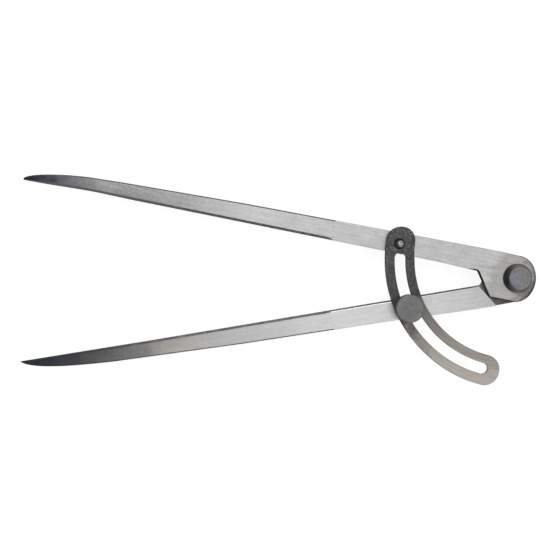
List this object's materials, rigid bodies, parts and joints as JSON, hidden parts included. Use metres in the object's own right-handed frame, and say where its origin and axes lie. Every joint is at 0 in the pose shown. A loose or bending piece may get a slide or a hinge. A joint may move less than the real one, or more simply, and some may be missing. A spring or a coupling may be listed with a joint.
{
  "type": "scribing compass",
  "caption": "Wing-style scribing compass with two bevelled steel legs on a lap joint and a slotted arc clamped by a thumb screw.",
  "frame": {"origin": "centre of the rear pivot washer's outer face, on the joint's axis", "axes": "+Z along the joint's axis towards the arc and the thumb screw; the legs' points lie towards -X, the front leg on the +Y side"},
  "size_m": [0.2477, 0.0965, 0.017],
  "materials": {
    "leg_steel": "fine ground, with heat-darkened points",
    "black_steel": "blackened, turned",
    "arc_steel": "mill scale, rubbed bright towards the free end",
    "rivet_steel": "bright, hammered",
    "knob_steel": "dull grey, turned and knurled",
    "washer_steel": "plain",
    "shim_brass": "rolled"
  },
  "bodies": {
    "root": {"front_leg": "leg_steel", "pivot_rivet": "black_steel", "front_pivot_washer": "black_steel", "rear_pivot_washer": "black_steel", "friction_washer": "shim_brass", "arc_rivet": "rivet_steel"},
    "rear_leg": {"rear_leg": "leg_steel"},
    "arc": {"slotted_arc": "arc_steel"},
    "clamp_washer": {"clamp_washer": "washer_steel"},
    "clamp": {"clamp_screw": "knob_steel", "clamp_knob": "knob_steel"}
  },
  "joints": [
    {"name": "leg_hinge", "type": "hinge", "parent": "root", "child": "rear_leg", "pos_m": [0, 0, 0.00675], "axis": [0, 0, 1], "range_deg": [-20.8, 41]},
    {"name": "arc_swing", "type": "hinge", "parent": "root", "child": "arc", "pos_m": [-0.05723, 0.01552, 0.01075], "axis": [0, 0, 1], "range_deg": [-8.9, 4.5]},
    {"name": "clamp_lift", "type": "slide", "parent": "rear_leg", "child": "clamp_washer", "axis": [0, 0, 1], "range_m": [0, 0.00141]},
    {"name": "clamp_turn", "type": "hinge", "parent": "clamp_washer", "child": "clamp", "pos_m": [-0.05252, -0.01515, 0.01175], "axis": [0, 0, 1], "range_deg": [0, 720]}
  ],
  "couplings": [
    {"joint": "arc_swing", "follows": "leg_hinge", "ratio": -0.216},
    {"joint": "clamp_lift", "follows": "clamp_turn", "m_per_rad": 0.00011141}
  ]
}
